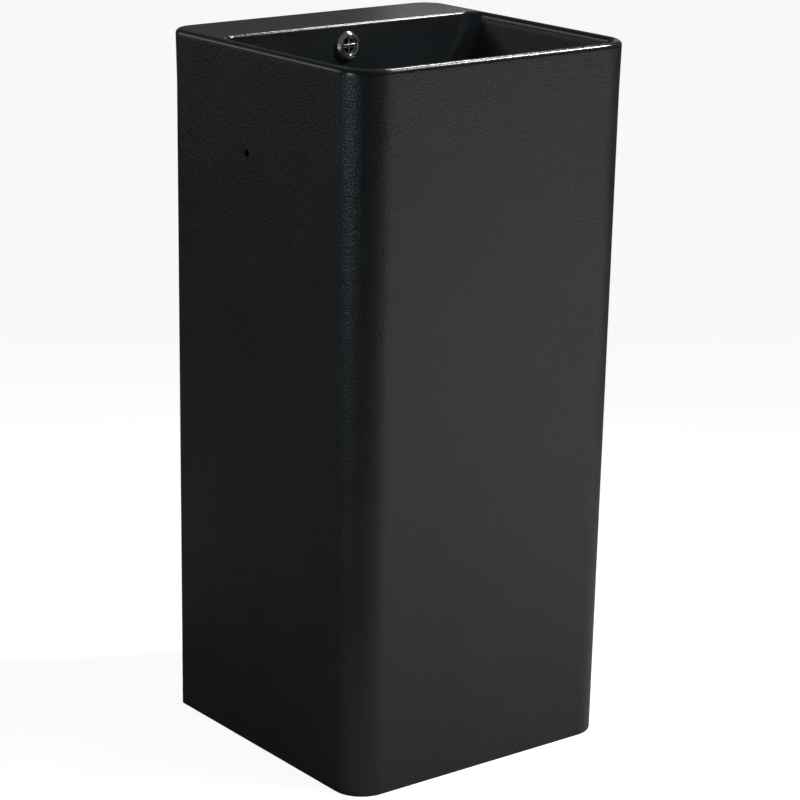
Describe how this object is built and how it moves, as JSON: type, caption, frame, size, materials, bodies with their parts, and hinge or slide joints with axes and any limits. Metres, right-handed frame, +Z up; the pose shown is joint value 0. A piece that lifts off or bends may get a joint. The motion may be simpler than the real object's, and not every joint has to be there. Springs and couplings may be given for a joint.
{
  "type": "pedestal sink",
  "caption": "One-piece matt black ceramic column washbasin with tap deck, overflow ring, push-open waste and bottle trap behind a rear service opening.",
  "frame": {"origin": "on the floor, under the middle of the rim's square outline", "axes": "+X to the user's right when facing the basin, +Y towards the wall behind, +Z up; the front faces -Y"},
  "size_m": [0.39, 0.39, 0.85],
  "materials": {
    "ceramic_glaze": "matt black textured glaze",
    "chrome": "polished",
    "rubber": "matt black",
    "brass": "machined",
    "spring_steel": "drawn wire",
    "plastic": "white moulded"
  },
  "bodies": {
    "sink": {"ceramic_body": "ceramic_glaze", "overflow_ring": "chrome", "overflow_sleeve": "rubber", "waste_body": "chrome", "waste_top_gasket": "rubber", "waste_lower_gasket": "rubber", "waste_thrust_washer": "plastic", "waste_backnut": "brass", "plug_cartridge": "brass", "plug_spring": "spring_steel", "trap_union_nut": "plastic", "trap_union_washer": "rubber", "trap_inlet_tube": "plastic", "trap_inlet_nut": "plastic", "trap_inlet_cone": "rubber", "trap_body": "plastic", "trap_outlet_nut": "plastic", "trap_outlet_cone": "rubber", "trap_outlet_pipe": "plastic", "wall_rosette": "plastic"},
    "plug": {"plug_cap": "chrome", "plug_seal": "rubber", "plug_stem": "brass"},
    "trap_seal": {"trap_cup_seal": "rubber"},
    "trap_cup": {"trap_cup": "plastic"}
  },
  "joints": [
    {"name": "plug_press", "type": "slide", "parent": "sink", "child": "plug", "axis": [0, 0, 1], "range_m": [-0.008, 0], "stiffness_N_per_m": 400, "springref_m": 0.006, "deforming": ["plug_spring"]},
    {"name": "trap_cup_drop", "type": "slide", "parent": "sink", "child": "trap_seal", "axis": [0, 0, -1], "range_m": [0, 0.009]},
    {"name": "trap_cup_turn", "type": "hinge", "parent": "trap_seal", "child": "trap_cup", "pos_m": [0, -0.045, 0.5], "axis": [0, 0, -1], "range_deg": [0, 1080]}
  ],
  "couplings": [
    {"joint": "trap_cup_drop", "follows": "trap_cup_turn", "m_per_rad": 0.00047746}
  ]
}
